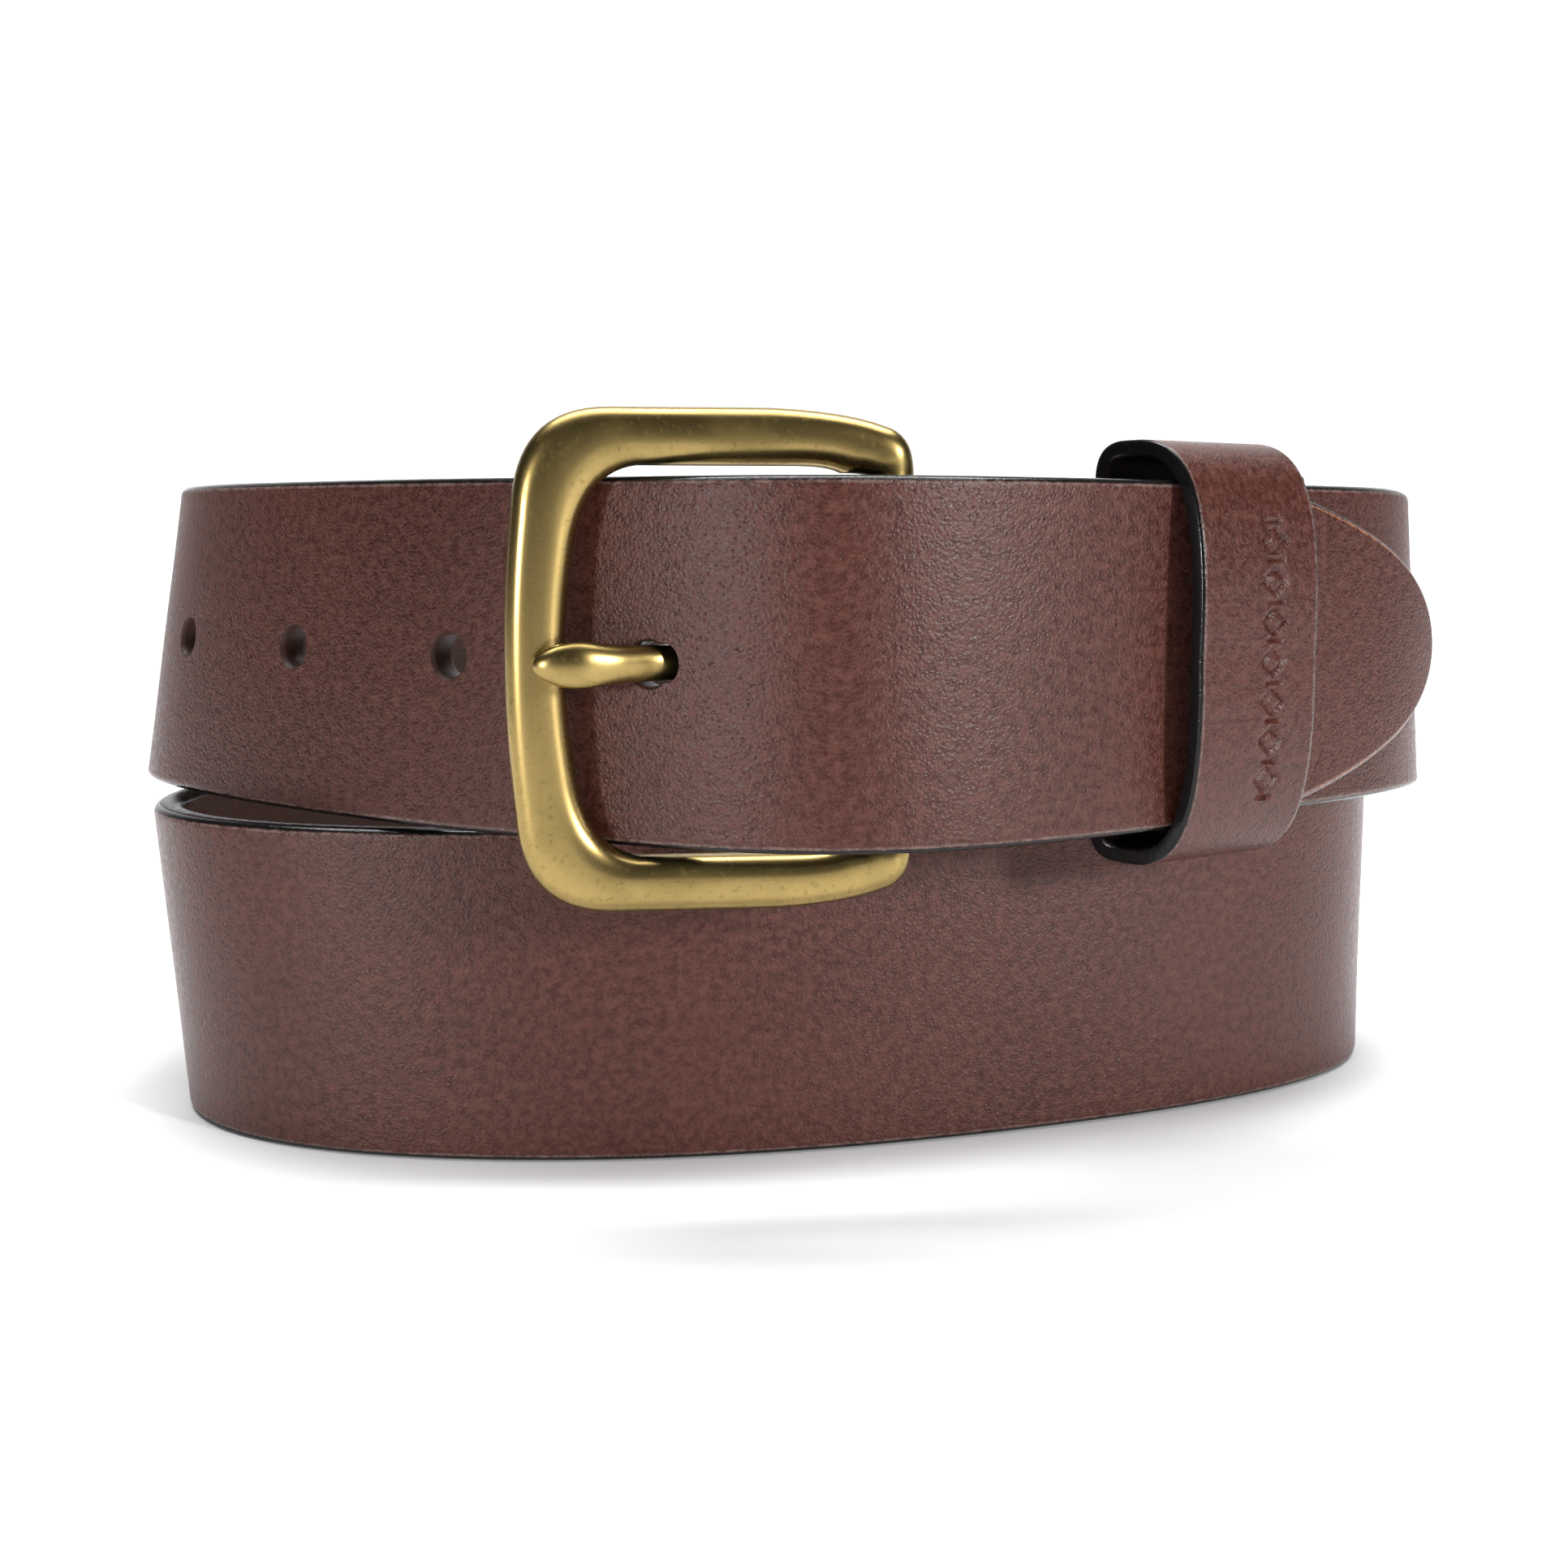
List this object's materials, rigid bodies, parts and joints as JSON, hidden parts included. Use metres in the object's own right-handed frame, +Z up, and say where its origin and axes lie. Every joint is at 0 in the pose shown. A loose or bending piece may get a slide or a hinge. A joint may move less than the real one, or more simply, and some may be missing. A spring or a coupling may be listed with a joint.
{
  "type": "leather belt",
  "caption": "Coiled leather belt with a heel-bar frame buckle, prong, keeper loop and rounded tip, buckled and standing on its edge.",
  "frame": {"origin": "middle of the belt's plan on the table, at the bottom edge of the lower ring", "axes": "+X to the pointed tip's side, -Y out of the buckle's front, +Z up from the table"},
  "size_m": [0.1711, 0.1398, 0.0834],
  "materials": {
    "strap_leather": "dark brown bridle leather, satin, black burnished edges",
    "buckle_brass": "antique satin brass",
    "staple_steel": "plated steel wire"
  },
  "bodies": {
    "strap": {"strap_under_keeper": "strap_leather", "strap_right_limb": "strap_leather", "strap_back_descending": "strap_leather", "strap_lower_left": "strap_leather", "strap_lower_front": "strap_leather", "strap_lower_right": "strap_leather", "strap_back_ascending": "strap_leather", "strap_upper_left": "strap_leather", "strap_buckled_end": "strap_leather", "strap_tail": "strap_leather", "strap_turnback": "strap_leather", "screw_post_1": "buckle_brass", "post_screw_1": "buckle_brass", "screw_post_2": "buckle_brass", "post_screw_2": "buckle_brass"},
    "frame": {"buckle_frame": "buckle_brass"},
    "prong": {"buckle_prong": "buckle_brass"},
    "keeper": {"keeper_loop": "strap_leather", "keeper_staple": "staple_steel"},
    "tip": {"strap_tip": "strap_leather"}
  },
  "joints": [
    {"name": "frame_pivot", "type": "hinge", "parent": "strap", "child": "frame", "pos_m": [0.01098, -0.0598, 0.0575], "axis": [0, 0, 1], "range_deg": [-10, 15], "deforming": ["strap_buckled_end"]},
    {"name": "prong_pivot", "type": "hinge", "parent": "frame", "child": "prong", "pos_m": [0.01098, -0.0598, 0.0575], "axis": [0, 0, 1], "range_deg": [0, 4]},
    {"name": "keeper_slide", "type": "slide", "parent": "strap", "child": "keeper", "axis": [0.8053, 0.5928, 0], "range_m": [-0.004, 0.0015]},
    {"name": "tip_flex", "type": "hinge", "parent": "strap", "child": "tip", "pos_m": [0.06173, -0.03733, 0.0574], "axis": [0, 0, 1], "range_deg": [-35, 0], "stiffness_Nm_per_rad": 0.05}
  ]
}
